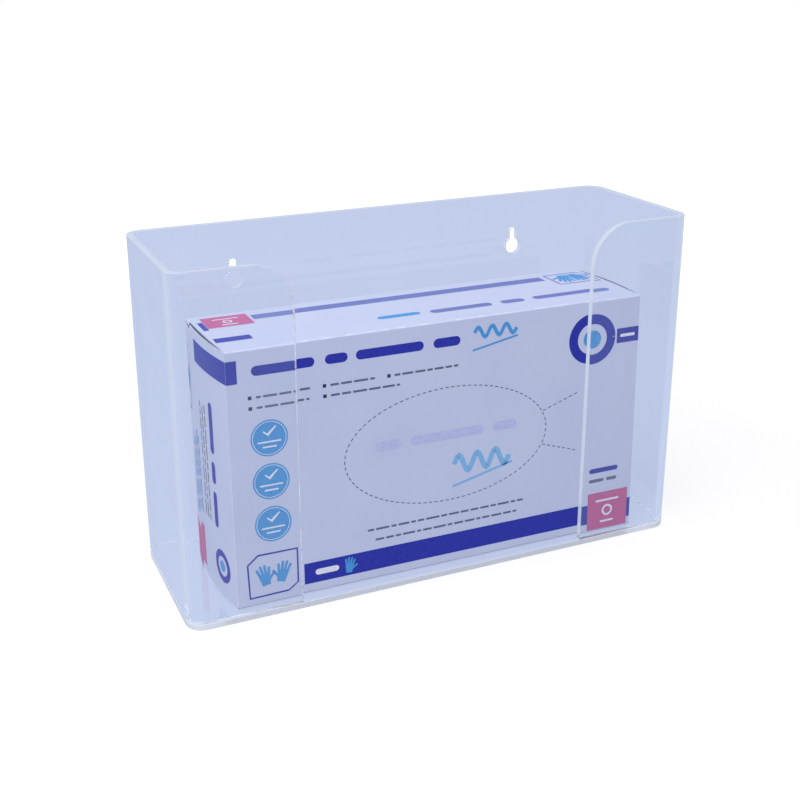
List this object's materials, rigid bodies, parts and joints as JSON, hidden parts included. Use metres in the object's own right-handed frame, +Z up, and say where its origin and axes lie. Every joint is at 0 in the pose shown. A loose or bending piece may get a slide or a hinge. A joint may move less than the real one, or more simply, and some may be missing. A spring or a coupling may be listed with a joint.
{
  "type": "glove box dispenser",
  "caption": "Clear acrylic wall holder for a carton of disposable gloves, open at the top and front, with keyholes in its back and a closed carton standing in it.",
  "frame": {"origin": "centre of the footprint, on the underside of the floor plate", "axes": "+X along the width, to the right seen from the front; +Y towards the back wall; +Z up"},
  "size_m": [0.26, 0.085, 0.168],
  "materials": {
    "clear_acrylic": "clear, polished",
    "printed_board": "satin print"
  },
  "bodies": {
    "root": {"folded_wall": "clear_acrylic", "floor_plate": "clear_acrylic", "glove_carton": "printed_board"}
  },
  "joints": []
}
